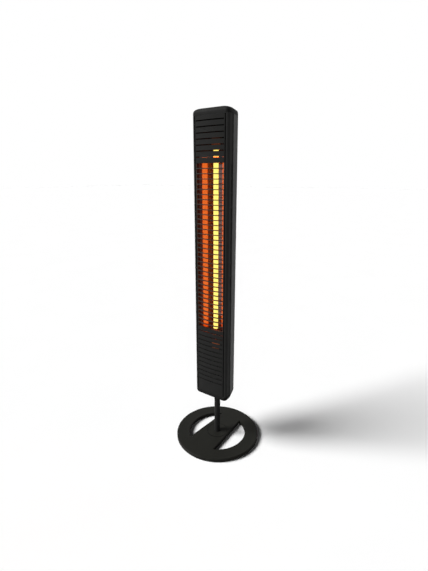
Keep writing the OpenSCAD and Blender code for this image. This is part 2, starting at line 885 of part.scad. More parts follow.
module control_board() {
    y = chassis_y - board_lift - board_t;
    color("darkgreen") translate([-board_w / 2, y, board_z0]) cube([board_w, board_t, board_h]);
    color(plastic_black) {
        translate([-board_w / 2 + board_inset, y - relay_size.y, board_z0 + board_h / 2])
            cube(relay_size);
        translate([board_w / 2 - board_inset - choke_r, y, choke_z])
            rotate([90, 0, 0]) cylinder(r = choke_r, h = choke_h, $fn = round_fn);
    }
    color(zinc) translate([-board_w / 2 + board_inset, y - sink_size.y, board_z0 + sink_rise]) {
        translate([0, sink_size.y - sink_back_t, 0]) cube([sink_size.x, sink_back_t, sink_size.z]);
        for (i = [0:fin_count - 1]) translate([i * (sink_size.x - fin_t) / (fin_count - 1), 0, 0])
            cube([fin_t, sink_size.y, sink_size.z]);
    }
}

module terminal_block() {
    way = terminal_size.x / terminal_ways;
    color(ceramic) translate([lead_x - terminal_size.x / 2, chassis_y - terminal_size.y, terminal_z0]) difference() {
        cube(terminal_size);
        for (i = [0:terminal_ways - 1], side = terminal_screw_shares)
            translate([way * (i + 0.5), terminal_size.y / 2, terminal_size.z * side]) rotate([90, 0, 0])
                translate([0, 0, -over]) cylinder(r = terminal_screw_r, h = terminal_size.y, $fn = round_fn);
    }
}

module tilt_switch() {
    color(zinc) translate([tilt_x, chassis_y - tilt_r, terminal_z0])
        cylinder(r = tilt_r, h = tilt_h, $fn = round_fn);
}

// Rocker switch on the back

module bezel_outline() {
    square([bezel_w - 2 * bezel_r, bezel_h], center = true);
    square([bezel_w, bezel_h - 2 * bezel_r], center = true);
    for (x = [-1, 1], z = [-1, 1]) translate([x * (bezel_w / 2 - bezel_r), z * (bezel_h / 2 - bezel_r)])
        circle(r = bezel_r, $fn = round_fn);
}

module trunnions(r, reach) {
    translate([-reach, rocker_axis_y, switch_z]) rotate([0, 90, 0])
        cylinder(r = r, h = 2 * reach, $fn = round_fn);
}

module switch_housing() {
    pocket_hw = rocker_hw + rocker_gap;
    pocket_hh = rocker_r + rocker_gap;
    color(plastic_black) difference() {
        union() {
            translate([0, back_y + bezel_t, switch_z]) rotate([90, 0, 0])
                linear_extrude(bezel_t) bezel_outline();
            translate([-switch_body.x / 2, back_y - switch_body.y, switch_z - switch_body.z / 2])
                cube([switch_body.x, switch_body.y + bezel_t / 2, switch_body.z]);
        }
        translate([-pocket_hw, rocker_axis_y - rocker_pocket, switch_z - pocket_hh])
            cube([2 * pocket_hw, switch_body.y, 2 * pocket_hh]);
        trunnions(trunnion_r + hinge_gap, rocker_hw + trunnion_len + fit_gap);
    }
}

module switch_rocker() {
    color(rubber_black) {
        translate([0, rocker_axis_y, switch_z]) rotate([rocker_tilt, 0, 0])
            rotate([90, 0, 90]) translate([0, 0, -rocker_hw]) linear_extrude(2 * rocker_hw)
            intersection() {
                circle(r = rocker_r, $fn = round_fn);
                polygon([[-rocker_back, -rocker_r - over], [-rocker_back, rocker_r + over],
                    [rocker_face, rocker_r + over], [rocker_face - rocker_dip, 0],
                    [rocker_face, -rocker_r - over]]);
            }
        trunnions(trunnion_r, rocker_hw + trunnion_len);
    }
}

// Cable gland on the back

module along_gland(y) {
    translate([0, y, gland_z]) rotate([-90, 0, 0]) children();
}

module gland_body() {
    color(plastic_black) difference() {
        union() {
            along_gland(back_y - gland_inner_len)
                cylinder(r = gland_thread_r, h = gland_inner_len + over, $fn = round_fn);
            along_gland(back_y) cylinder(r = hex_radius(gland_hex_af), h = gland_hex_t, $fn = 6);
            along_gland(back_y) cylinder(r = gland_nose_r, h = gland_hex_t + gland_nose_len, $fn = round_fn);
        }
        along_gland(back_y - gland_inner_len - over)
            cylinder(r = gland_bore_r, h = gland_inner_len + gland_hex_t + gland_nose_len + 2 * over,
                $fn = round_fn);
    }
}

module gland_locknut() {
    color(plastic_black) difference() {
        along_gland(back_y - wall - locknut_t)
            cylinder(r = hex_radius(gland_hex_af), h = locknut_t, $fn = 6);
        along_gland(back_y - wall - locknut_t - over)
            cylinder(r = gland_thread_r + thread_gap, h = locknut_t + 2 * over, $fn = round_fn);
    }
}

module gland_seal() {
    y0 = back_y + gland_hex_t + gland_nose_len - seal_len;
    color(rubber_black) difference() {
        along_gland(y0) cylinder(r = gland_bore_r - seat_gap, h = seal_len, $fn = round_fn);
        along_gland(y0 - over) cylinder(r = cord_r, h = seal_len + 2 * over, $fn = round_fn);
    }
}

base_plate();
foot_pads();
pole_hub();
hub_screws();
pole_bolt();
pole_foot_plug();
pole();
pole_block();
block_screws();
pole_grub_screw();
casing();
bottom_cap();
bottom_gasket();
bottom_cap_screws();
top_cap();
top_gasket();
top_cap_screws();
upper_panel();
lower_panel();
guard_grille();
reflector();
reflector_end_plates();
quartz_tube();
heating_element();
lamp_sockets();
socket_brackets();
lamp_leads();
chassis_plate();
control_board();
terminal_block();
tilt_switch();
switch_housing();
switch_rocker();
gland_body();
gland_locknut();
gland_seal();
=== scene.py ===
"""Looks of the infrared patio heater tower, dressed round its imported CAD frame.

Metres. The front faces -Y, Z points up, the origin is on the floor under the pole.
"""

from __future__ import annotations

import logging
import math
from dataclasses import dataclass, field
from enum import Enum
from typing import Iterable

import bmesh
import bpy
from mathutils import Matrix, Vector


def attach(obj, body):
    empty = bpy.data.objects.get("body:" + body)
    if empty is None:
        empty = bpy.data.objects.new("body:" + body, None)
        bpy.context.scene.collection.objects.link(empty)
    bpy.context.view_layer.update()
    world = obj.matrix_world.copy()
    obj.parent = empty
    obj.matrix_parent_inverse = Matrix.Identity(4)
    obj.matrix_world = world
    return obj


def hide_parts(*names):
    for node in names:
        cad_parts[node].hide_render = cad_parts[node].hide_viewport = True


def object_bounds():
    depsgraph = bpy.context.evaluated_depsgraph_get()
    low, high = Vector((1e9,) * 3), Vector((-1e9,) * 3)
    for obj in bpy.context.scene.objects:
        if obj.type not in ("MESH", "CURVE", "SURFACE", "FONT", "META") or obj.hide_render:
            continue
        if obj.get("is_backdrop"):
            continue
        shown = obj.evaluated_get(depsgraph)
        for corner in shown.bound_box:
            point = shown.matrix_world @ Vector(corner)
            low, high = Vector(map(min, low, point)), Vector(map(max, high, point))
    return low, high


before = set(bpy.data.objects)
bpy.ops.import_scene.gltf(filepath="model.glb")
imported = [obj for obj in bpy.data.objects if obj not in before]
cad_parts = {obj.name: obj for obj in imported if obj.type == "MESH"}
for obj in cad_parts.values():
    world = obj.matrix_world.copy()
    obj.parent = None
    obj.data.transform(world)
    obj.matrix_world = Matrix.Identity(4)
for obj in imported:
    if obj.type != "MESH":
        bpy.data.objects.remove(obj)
CAD_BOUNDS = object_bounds()

logging.basicConfig(level=logging.INFO, format="%(message)s")
log = logging.getLogger("heater")

Colour = tuple[float, float, float]
Point = tuple[float, float, float]
Spot = tuple[float, float]
Tones = tuple[tuple[float, float], tuple[float, float]]
Socket = bpy.types.NodeSocket
Mesh = bmesh.types.BMesh

UNLIT: Colour = (0.0, 0.0, 0.0)
SHARP_ANGLE = math.radians(38)
BEVEL_ANGLE = math.radians(35)
BEVEL_STEPS = 3
EDGE_MID = 0.3  # share of a soft edge's width taken off half way round it
WELD = 1e-7


class Nodes:
    """A node tree with short ways to add nodes and join them."""

    def __init__(self, tree: bpy.types.NodeTree) -> None:
        """Takes the tree that grows."""
        self.tree = tree

    def fill(self, socket: Socket, value: Socket | Colour | float) -> None:
        """Joins an output to an input, or sets the input's own value.

        Args:
            socket: The input.
            value: An output, a number, or a colour without its alpha.
        """
        if isinstance(value, Socket):
            self.tree.links.new(value, socket)
        elif isinstance(value, tuple) and len(value) < len(socket.default_value):
            socket.default_value = (*value, 1.0)
        else:
            socket.default_value = value

    def node(self, kind: str, **inputs: Socket | Colour | float) -> bpy.types.Node:
        """Adds a shader node.

        Args:
            kind: Its type, without the word that all shader nodes start with.
            **inputs: Names of inputs, with _ for a space, and what each gets.

        Returns:
            The node.
        """
        node = self.tree.nodes.new(f"ShaderNode{kind}")
        for name, value in inputs.items():
            self.fill(node.inputs[name.replace("_", " ")], value)
        return node

    def compute(self, operation: str, *values: Socket | float) -> Socket:
        """Adds a Math node.

        Args:
            operation: What it does, in Blender's word.
            *values: Its inputs in order.

        Returns:
            The result.
        """
        node = self.node("Math")
        node.operation = operation
        for socket, value in zip(node.inputs, values):
            self.fill(socket, value)
        return node.outputs[0]

    def seen(self) -> Socket:
        """Gives 1 where the camera looks, straight or by way of gloss or glass, and 0 for other light.

        Returns:
            The value.
        """
        rays = self.node("LightPath").outputs
        plain = self.compute("MAXIMUM", rays["Is Camera Ray"], rays["Is Glossy Ray"])
        return self.compute("MAXIMUM", plain, rays["Is Transmission Ray"])


class NodeSheet(Nodes):
    """A material's node tree with the patterns that the finishes share."""

    def __init__(self, name: str) -> None:
        """Starts a material with a Principled shader.

        Args:
            name: The material's name.
        """
        self.material = bpy.data.materials.new(name)
        self.material.use_nodes = True
        super().__init__(self.material.node_tree)
        self.shader = self.tree.nodes["Principled BSDF"]
        self.where = self.node("TexCoord").outputs["Object"]

    def set(self, **values: Socket | Colour | float) -> None:
        """Sets or joins the shader's sockets, named with _ for a space."""
        for name, value in values.items():
            self.fill(self.shader.inputs[name.replace("_", " ")], value)

    def stretch(self, scale: Point) -> Socket:
        """Gives object coordinates scaled by a factor along X, Y and Z."""
        return self.node("Mapping", Vector=self.where, Scale=scale).outputs["Vector"]

    def noise(self, scale: float, detail: float = 3.0, stretch: Point = (1, 1, 1)) -> Socket:
        """Gives a noise pattern with a scale to the metre, its octaves, and a factor along each axis."""
        return self.node("TexNoise", Vector=self.stretch(stretch), Scale=scale, Detail=detail).outputs["Fac"]

    def cells(self, scale: float) -> Socket:
        """Gives a Voronoi pattern's distance, with that many cells to a metre."""
        return self.node("TexVoronoi", Vector=self.where, Scale=scale).outputs["Distance"]

    def bands(self, scale: float) -> Socket:
        """Adds a pattern of diagonal sine bands.

        Args:
            scale: How close the bands are.

        Returns:
            The pattern's value.
        """
        node = self.node("TexWave", Vector=self.where, Scale=scale)
        node.bands_direction = "DIAGONAL"
        return node.outputs["Fac"]

    def ramp(self, value: Socket, *stops: tuple[float, Colour]) -> Socket:
        """Maps a value to colours.

        Args:
            value: What drives the ramp.
            *stops: Positions and linear colours, in order.

        Returns:
            The colour.
        """
        node = self.node("ValToRGB", Fac=value)
        elements = node.color_ramp.elements
        while len(elements) < len(stops):
            elements.new(0.5)
        for element, (place, colour) in zip(elements, stops):
            element.position = place
            element.color = (*colour, 1.0)
        return node.outputs["Color"]

    def shades(self, value: Socket, colour: Colour, tones: Tones) -> Socket:
        """Maps a value to shades of one colour, each tone a place on the ramp and a factor."""
        return self.ramp(value, *((place, tuple(part * factor for part in colour)) for place, factor in tones))

    def span(self, value: Socket, low: float, high: float) -> Socket:
        """Maps 0 to 1 onto low to high."""
        return self.node("MapRange", Value=value, To_Min=low, To_Max=high).outputs["Result"]

    def mix(self, factor: Socket, first: Socket | Colour, second: Socket | Colour) -> Socket:
        """Mixes two colours.

        Args:
            factor: 0 gives the first, 1 the second.
            first: A colour or an output that gives one.
            second: A colour or an output that gives one.

        Returns:
            The mixed colour.
        """
        node = self.node("Mix")
        node.data_type = "RGBA"
        self.fill(node.inputs["Factor"], factor)
        spots = [socket for socket in node.inputs if socket.type == "RGBA"]
        for spot, colour in zip(spots, (first, second)):
            self.fill(spot, colour)
        return next(socket for socket in node.outputs if socket.type == "RGBA")

    def hoop(self, radius: float, width: float) -> Socket:
        """Gives 1 on a hoop round the Z axis and 0 elsewhere.

        Args:
            radius: The hoop's middle radius.
            width: How wide the hoop is.

        Returns:
            The value.
        """
        length = self.node("VectorMath")
        length.operation = "LENGTH"
        self.fill(length.inputs[0], self.stretch((1, 1, 0)))
        return self.compute("COMPARE", length.outputs["Value"], radius, width / 2)

    def past(self, low: float, high: float, reach: float, axis: str = "Z") -> Socket:
        """Gives 0 between two places along an axis, rising to 1 beyond them.

        Args:
            low: The lower place.
            high: The upper place.
            reach: How far beyond either place 1 is reached.
            axis: X, Y or Z.

        Returns:
            The value.
        """
        along = self.node("SeparateXYZ", Vector=self.where).outputs[axis]
        away = self.compute("ABSOLUTE", self.compute("SUBTRACT", along, (low + high) / 2))
        half = (high - low) / 2
        return self.node("MapRange", Value=away, From_Min=half, From_Max=half + reach).outputs["Result"]

    def bump(self, height: Socket, strength: float, distance: float) -> None:
        """Adds relief, on top of any that is there.

        Args:
            height: The relief's pattern.
            strength: 0 to 1.
            distance: Full height in metres.
        """
        node = self.node("Bump", Height=height, Strength=strength, Distance=distance)
        normal = self.shader.inputs["Normal"]
        if normal.is_linked:
            self.fill(node.inputs["Normal"], normal.links[0].from_socket)
        self.fill(normal, node.outputs["Normal"])


@dataclass(frozen=True)
class Finish:
    """A finish, whose kinds each paint a sheet their own way."""

    name: str

    def paint(self, sheet: NodeSheet) -> None:
        """Paints a sheet with this finish."""
        raise NotImplementedError

    def material(self) -> bpy.types.Material:
        """Gives the finish's material, built the first time it is asked for.

        Returns:
            The material.
        """
        found = bpy.data.materials.get(self.name)
        if found:
            return found
        sheet = NodeSheet(self.name)
        self.paint(sheet)
        return sheet.material


@dataclass(frozen=True)
class PowderCoat(Finish):
    """Fine-textured powder coat: cloudy colour, orange-peel relief, uneven gloss, and, if asked, a near-black ring of
    painted shade round a seam.
    """

    shade: float
    rough: float
    gloss: float
    grain: float = 2600.0
    warm: float = 0.97
    seam_r: float = 0.0
    seam_w: float = 0.0012
    painted_seam_shade: Colour = (0.001, 0.001, 0.001)
    cloud: float = 22.0
    patch: float = 180.0
    swing: float = 0.07
    peel: float = 420.0
    tones: Tones = ((0.3, 0.93), (0.7, 1.08))

    def paint(self, sheet: NodeSheet) -> None:
        """Paints the coat.

        Args:
            sheet: The sheet.
        """
        grey = (self.shade, self.shade, self.shade * self.warm)
        colour = sheet.shades(sheet.noise(self.cloud, detail=5.0), grey, self.tones)
        # painted shade: a near-black ring where the hub sits in the plate's recess, standing in for the shade inside
        # that gap
        if self.seam_r:
            colour = sheet.mix(sheet.hoop(self.seam_r, self.seam_w), colour, self.painted_seam_shade)
        gloss = sheet.span(sheet.noise(self.patch, detail=4.0), self.rough - self.swing, self.rough + self.swing)
        sheet.set(Base_Color=colour, Roughness=gloss, Specular_IOR_Level=self.gloss)
        sheet.bump(sheet.noise(self.grain, detail=2.0), strength=0.35, distance=0.00012)
        sheet.bump(sheet.noise(self.peel, detail=2.0), strength=0.12, distance=0.0001)


@dataclass(frozen=True)
class Moulded(Finish):
    """Moulded plastic, rubber or ceramic with an eroded grain."""

    colour: Colour
    rough: float
    gloss: float = 0.4
    grain: float = 1800.0
    depth: float = 0.00008
    cloud: float = 60.0
    patch: float = 240.0
    swing: float = 0.08
    tones: Tones = ((0.35, 0.9), (0.65, 1.1))

    def paint(self, sheet: NodeSheet) -> None:
        """Paints the moulding.

        Args:
            sheet: The sheet.
        """
        colour = sheet.shades(sheet.noise(self.cloud, detail=4.0), self.colour, self.tones)
        gloss = sheet.span(sheet.noise(self.patch), self.rough - self.swing, self.rough + self.swing)
        sheet.set(Base_Color=colour, Roughness=gloss, Specular_IOR_Level=self.gloss)
        sheet.bump(sheet.cells(self.grain), strength=0.5, distance=self.depth)


@dataclass(frozen=True)
class BareMetal(Finish):
    """Plated or cast metal with blotches and drawn or sandy relief."""

    colour: Colour
    rough: float
    grain: float = 900.0
    drawn: Point = (1, 1, 1)
    blotch: float = 140.0
    patch: float = 300.0
    polish: float = 0.08
    wear: float = 0.1
    tones: Tones = ((0.1, 0.78), (0.8, 1.0))

    def paint(self, sheet: NodeSheet) -> None:
        """Paints the metal.

        Args:
            sheet: The sheet.
        """
        colour = sheet.shades(sheet.cells(self.blotch), self.colour, self.tones)
        gloss = sheet.span(sheet.noise(self.patch), self.rough - self.polish, self.rough + self.wear)
        sheet.set(Metallic=1.0, Base_Color=colour, Roughness=gloss)
        sheet.bump(sheet.noise(self.grain, detail=2.0, stretch=self.drawn), strength=0.4, distance=0.00008)


@dataclass(frozen=True)
class BlackEnamel(Finish):
    """Gloss black heat-proof enamel, faintly brown, with a faint red glow painted on its outer parts as the lamp
    light that the guard throws back.
    """

    name: str = "black_enamel"
    dark: Colour = (0.021, 0.017, 0.0185)
    pale: Colour = (0.027, 0.022, 0.024)
    rough: float = 0.08
    swing: float = 0.03
    cloud: float = 30.0
    patch: float = 120.0
    ripple: float = 90.0
    run: Point = (1, 1, 0.2)
    painted_glow: Colour = (0.022, 0.0022, 0.0)
    half_flat: float = 0.04
    reach: float = 0.003

    def paint(self, sheet: NodeSheet) -> None:
        """Paints the enamel.

        Args:
            sheet: The sheet.
        """
        clouds = sheet.noise(self.cloud, detail=4.0, stretch=self.run)
        colour = sheet.ramp(clouds, (0.3, self.dark), (0.7, self.pale))
        gloss = sheet.span(sheet.noise(self.patch), self.rough - self.swing, self.rough + self.swing)
        # painted lamp light: beyond the flat middle the enamel emits a faint red, as if lit by the lamp
        lit = sheet.mix(sheet.past(-self.half_flat, self.half_flat, self.reach, "X"), UNLIT, self.painted_glow)
        sheet.set(Base_Color=colour, Roughness=gloss, Specular_IOR_Level=0.9)
        sheet.set(Emission_Color=lit, Emission_Strength=1.0)
        sheet.bump(sheet.noise(self.ripple, detail=2.0), strength=0.05, distance=0.0001)


@dataclass(frozen=True)
class LampGlow(Finish):
    """Heating coil at working heat, so bright that it looks pale yellow, with cold pins at its ends."""

    name: str = "lamp_glow"
    body: Colour = (0.2, 0.1, 0.05)
    hot: Colour = (1.35, 1.16, 0.245)
    cool: Colour = (1.25, 1.06, 0.225)
    pin: Colour = (0.1, 0.012, 0.002)
    twist: float = 14.0
    low: float = 0.4335
    high: float = 1.0095
    reach: float = 0.002

    def paint(self, sheet: NodeSheet) -> None:
        """Paints the glow.

        Args:
            sheet: The sheet.
        """
        colour = sheet.ramp(sheet.bands(self.twist), (0.0, self.cool), (1.0, self.hot))
        lit = sheet.mix(sheet.past(self.low, self.high, self.reach), colour, self.pin)
        sheet.set(Base_Color=self.body, Roughness=0.6, Specular_IOR_Level=0.1)
        sheet.set(Emission_Color=lit, Emission_Strength=1.0)


@dataclass(frozen=True)
class PaintedGlowSteatite(Finish):
    """Dark ceramic of a lamp socket, with the lamp's light painted on as a faint orange glow at the end that holds
    the tube.
    """

    name: str = "dark_steatite"
    colour: Colour = (0.05, 0.038, 0.028)
    upper_painted_glow: Colour = (0.075, 0.017, 0.005)
    lower_painted_glow: Colour = (0.22, 0.05, 0.014)
    low: float = 0.38
    high: float = 1.016
    reach: float = 0.03
    cloud: float = 200.0
    grain: float = 700.0
    tones: Tones = ((0.3, 1.0), (0.7, 1.3))

    def paint(self, sheet: NodeSheet) -> None:
        """Paints the ceramic.

        Args:
            sheet: The sheet.
        """
        colour = sheet.shades(sheet.noise(self.cloud), self.colour, self.tones)
        # painted lamp light: the socket's end next to the tube emits a faint orange, stronger on the lower socket
        upper = sheet.past(0.0, (self.low + self.high) / 2, reach=0.01)
        painted_glow = sheet.mix(upper, self.lower_painted_glow, self.upper_painted_glow)
        lit = sheet.mix(sheet.past(self.low, self.high, self.reach), painted_glow, UNLIT)
        sheet.set(Base_Color=colour, Roughness=0.6, Specular_IOR_Level=0.2)
        sheet.set(Emission_Color=lit, Emission_Strength=1.0)
        sheet.bump(sheet.cells(self.grain), strength=0.5, distance=0.00005)


@dataclass(frozen=True)
class ClearQuartz(Finish):
    """Clear quartz tube with a faint amber cast and drawn streaks."""

    name: str = "clear_quartz"
    colour: Colour = (0.08, 0.055, 0.04)
    see_through: float = 0.94
    streak: float = 60.0
    drawn: Point = (1, 1, 0.05)
    tones: Tones = ((0.3, 1.0), (0.7, 1.3))

    def paint(self, sheet: NodeSheet) -> None:
        """Paints a sheet as quartz."""
        colour = sheet.shades(sheet.noise(self.streak, stretch=self.drawn), self.colour, self.tones)
        sheet.set(Base_Color=colour, Roughness=0.06, Specular_IOR_Level=0.4, Alpha=1.0 - self.see_through)


@dataclass(frozen=True)
class SolderMask(Finish):
    """Green board with fine tracks showing through."""

    name: str = "solder_mask"
    track: Colour = (0.009, 0.04, 0.018)
    gap: Colour = (0.005, 0.024, 0.011)
    plain: Colour = (0.006, 0.03, 0.014)
    tracks: float = 260.0

    def paint(self, sheet: NodeSheet) -> None:
        """Paints the board.

        Args:
            sheet: The sheet.
        """
        colour = sheet.ramp(sheet.cells(self.tracks), (0.05, self.track), (0.2, self.gap), (0.9, self.plain))
        sheet.set(Base_Color=colour, Roughness=0.5, Specular_IOR_Level=0.3)
        sheet.bump(sheet.cells(self.tracks), strength=0.3, distance=0.00005)


@dataclass(frozen=True)
class BraidedSleeve(Finish):
    """Silicone sleeve over a lead, with a fine diagonal braid."""

    name: str = "lead_sleeve"
    colour: Colour = (0.4, 0.06, 0.035)
    strands: float = 900.0
    tones: Tones = ((0.2, 0.6), (0.8, 1.0))

    def paint(self, sheet: NodeSheet) -> None:
        """Paints the sleeve.

        Args:
            sheet: The sheet.
        """
        braid = sheet.bands(self.strands)
        sheet.set(Base_Color=sheet.shades(braid, self.colour, self.tones), Roughness=0.6)
        sheet.bump(braid, strength=0.5, distance=0.0001)


class Coat(Enum):
    """Every finish on the heater."""

    CASING = PowderCoat("casing_coat", 0.0265, 0.5, 0.06)
    PANEL = PowderCoat("panel_coat", 0.0168, 0.5, 0.03)
    GUARD = PowderCoat("guard_coat", 0.024, 0.5, 0.08, 1800.0, 0.9)
    BASE = PowderCoat("base_coat", 0.0145, 0.5, 0.04, 2200.0, 0.86)
    # the hub's seam ring is painted shade
    HUB = PowderCoat("hub_coat", 0.0145, 0.5, 0.04, 2200.0, 0.86, seam_r=0.0374)
    POLE = PowderCoat("pole_coat", 0.018, 0.5, 0.05, 2200.0)
    CAP = Moulded("cap_moulding", (0.0116, 0.0116, 0.0112), 0.58, 0.04)
    SWITCH = Moulded("switch_moulding", (0.012, 0.012, 0.012), 0.28, 0.5, 3000.0, 0.00003)
    GLAND = Moulded("gland_moulding", (0.015, 0.015, 0.015), 0.5)
    MARK = Moulded("switch_marks", (0.75, 0.75, 0.72), 0.4, 0.4, 3000.0, 0.00002)
    RUBBER = Moulded("black_rubber", (0.012, 0.012, 0.012), 0.75, 0.25, 900.0, 0.0001)
    CERAMIC = Moulded("brown_steatite", (0.03, 0.02, 0.014), 0.5, 0.3, 700.0, 0.00005)
    ZINC = BareMetal("zinc_plate", (0.6, 0.61, 0.63), 0.32, 900.0, (1, 1, 0.15))
    OXIDE = BareMetal("black_oxide", (0.045, 0.044, 0.042), 0.42, 1200.0)
    CAST = BareMetal("blackened_cast_metal", (0.09, 0.09, 0.092), 0.55, 600.0)
    SOCKET = PaintedGlowSteatite()
    ENAMEL = BlackEnamel()
    GLOW = LampGlow()
    QUARTZ = ClearQuartz()
    BOARD = SolderMask()
    SLEEVE = BraidedSleeve()

    def material(self) -> bpy.types.Material:
        """Gives this finish's material."""
        return self.value.material()


Coats = tuple[tuple[str, Coat], ...]


def dress(coats: Coats) -> None:
    """Puts finishes on CAD nodes.

    Args:
        coats: The nodes' names and their finishes.
    """
    for node, coat in coats:
        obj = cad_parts[node]
        for spot in obj.material_slots:
            spot.material = coat.material()
        if not obj.material_slots:
            obj.data.materials.append(coat.material())
        log.info("node %s in %s", node, coat.value.name)


def stand(name: str, data: bpy.types.ID, where: Point = (0, 0, 0), turned: Point = (0, 0, 0)) -> bpy.types.Object:
    """Stands a new object in the scene.

    Args:
        name: Its name.
        data: Its mesh, light or camera.
        where: Its place.
        turned: Its Euler angles.

    Returns:
        The object.
    """
    obj = bpy.data.objects.new(name, data)
    obj.location = where
    obj.rotation_euler = turned
    bpy.context.scene.collection.objects.link(obj)
    return obj


@dataclass
class Piece:
    """A mesh made here that rides on one body of the heater."""

    name: str
    coat: Coat
    slot: str
    body: str = "heater"
    replaces: tuple[str, ...] = ()
    bevel: float = 0.0
    mesh: Mesh = field(default_factory=bmesh.new)
    cutters: Mesh | None = None
    fittings: Mesh | None = None

    @staticmethod
    def settle(mesh: Mesh, name: str) -> bpy.types.Object:
        """Turns a working mesh into an object in the scene.

        Args:
            mesh: The working mesh, freed here.
            name: The object's name.

        Returns:
            The new object.
        """
        bmesh.ops.remove_doubles(mesh, verts=mesh.verts, dist=WELD)
        bmesh.ops.recalc_face_normals(mesh, faces=mesh.faces)
        data = bpy.data.meshes.new(name)
        mesh.to_mesh(data)
        mesh.free()
        return stand(name, data)

    def carve(self, obj: bpy.types.Object) -> None:
        """Cuts the cutters out of the piece and adds its fittings.

        Args:
            obj: The piece's object, whose mesh is replaced.
        """
        if self.cutters is not None:
            cutter = self.settle(self.cutters, f"{self.name}_cutters")
            cut = obj.modifiers.new("cut", "BOOLEAN")
            cut.object = cutter
            cut.solver = "EXACT"
            graph = bpy.context.evaluated_depsgraph_get()
            obj.data = bpy.data.meshes.new_from_object(obj.evaluated_get(graph))
            obj.modifiers.clear()
            bpy.data.objects.remove(cutter, do_unlink=True)
        if self.fittings is not None:
            bmesh.ops.recalc_face_normals(self.fittings, faces=self.fittings.faces)
            self.fittings.from_mesh(obj.data)
            self.fittings.to_mesh(obj.data)
            self.fittings.free()

    def place(self) -> None:
        """Turns the mesh into an object that rides, is dressed and named."""
        obj = self.settle(self.mesh, self.name)
        self.carve(obj)
        data = obj.data
        data.name = self.name
        data.materials.clear()
        data.materials.append(self.coat.material())
        data.polygons.foreach_set("use_smooth", [True] * len(data.polygons))
        data.set_sharp_from_angle(angle=SHARP_ANGLE)
        if self.bevel:
            edge = obj.modifiers.new("edge", "BEVEL")
            edge.width = self.bevel
            edge.segments = BEVEL_STEPS
            edge.limit_method = "ANGLE"
            edge.angle_limit = BEVEL_ANGLE
            edge.harden_normals = True
        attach(obj, self.body)
        if self.replaces:
            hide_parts(*self.replaces)
        log.info("piece %s: %d faces", self.name, len(data.polygons))


def loft(mesh: Mesh, sections: Iterable[Iterable[Point]], hollow: bool = False) -> None:
    """Skins closed sections of equal count, one after another.

    Args:
        mesh: The mesh that grows.
        sections: Each section's points in order.
        hollow: Whether the last section joins the first; if not, both ends are closed.
    """
    rings = [[mesh.verts.new(point) for point in section] for section in sections]
    if hollow:
        rings.append(rings[0])
    for lower, upper in zip(rings[:-1], rings[1:]):
        for i in range(len(lower)):
            j = (i + 1) % len(lower)
            mesh.faces.new([lower[i], lower[j], upper[j], upper[i]])
    if not hollow:
        mesh.faces.new(rings[0])
        mesh.faces.new(rings[-1])


class Shape(Enum):
    """How a turned section departs from round."""

    ROUND = "round"
    HEX = "hex"
    FLUTED = "fluted"


@dataclass(frozen=True)
class Level:
    """One level of a turned form. A hex level's radius is half its width across flats."""

    radius: float
    height: float
    shape: Shape = Shape.ROUND
    flutes: int = 18
    flute_depth: float = 0.0005

    def reach(self, angle: float) -> float:
        """Gives the distance from the axis to the skin.

        Args:
            angle: Where round the axis.

        Returns:
            The distance.
        """
        if self.shape is Shape.HEX:
            return self.radius / math.cos(angle % math.radians(60) - math.radians(30))
        if self.shape is Shape.FLUTED:
            return self.radius - self.flute_depth * max(0.0, math.cos(self.flutes * angle))
        return self.radius


Profile = tuple[Level, ...]


def stack(*pairs: Spot, shape: Shape = Shape.ROUND) -> Profile:
    """Gives levels of one shape from their radii and heights."""
    return tuple(Level(radius, height, shape) for radius, height in pairs)


def turn(mesh: Mesh, levels: Profile, place: Matrix, steps: int = 48, hollow: bool = False) -> None:
    """Turns levels round the local Z axis.

    Args:
        mesh: The mesh that grows.
        levels: The form's levels from one end to the other.
        place: Where the local axes lie.
        steps: Points round the turn.
        hollow: Whether the last level joins the first, with a bore left open.
    """
    sections = []
    for level in levels:
        points = []
        for i in range(steps):
            a = 2 * math.pi * i / steps
            r = level.reach(a)
            points.append(place @ Vector((r * math.cos(a), r * math.sin(a), level.height)))
        sections.append(points)
    loft(mesh, sections, hollow)


def arc(middle: Spot, radius: float, start: float, end: float, steps: int) -> list[Spot]:
    """Gives points along an arc, both ends included.

    Args:
        middle: The arc's middle.
        radius: Its radius.
        start: The angle at which it starts.
        end: The angle at which it ends.
        steps: How many points.

    Returns:
        The points in order.
    """
    x, y = middle
    angles = [start + (end - start) * i / (steps - 1) for i in range(steps)]
    return [(x + radius * math.cos(a), y + radius * math.sin(a)) for a in angles]


def spots_round(radius: float, count: int) -> list[Spot]:
    """Gives spots evenly round a circle, the first half a step past the X axis."""
    angles = [2 * math.pi * (i + 0.5) / count for i in range(count)]
    return [(radius * math.cos(a), radius * math.sin(a)) for a in angles]


def rounded_rect(width: float, height: float, radius: float, steps: int = 5) -> list[Spot]:
    """Gives a rectangle with round corners, about its middle.

    Args:
        width: Size along the first axis.
        height: Size along the second axis.
        radius: Corner radius.
        steps: Points to a corner.

    Returns:
        The points in order.
    """
    points = []
    for corner, (sx, sy) in enumerate(((1, 1), (-1, 1), (-1, -1), (1, -1))):
        for i in range(steps):
            a = math.radians(90 * (corner + i / (steps - 1)))
            x = sx * (width / 2 - radius) + radius * math.cos(a)
            y = sy * (height / 2 - radius) + radius * math.sin(a)
            points.append((x, y))
    return points


def facing_back(x: float, y: float, z: float) -> Matrix:
    """Gives axes at a point whose Z looks along +Y, out of the heater's back."""
    return Matrix.Translation((x, y, z)) @ Matrix.Rotation(-math.pi / 2, 4, "X")


def facing_down(x: float, y: float, z: float) -> Matrix:
    """Gives axes at a point whose Z looks down."""
    return Matrix.Translation((x, y, z)) @ Matrix.Rotation(math.pi, 4, "X")


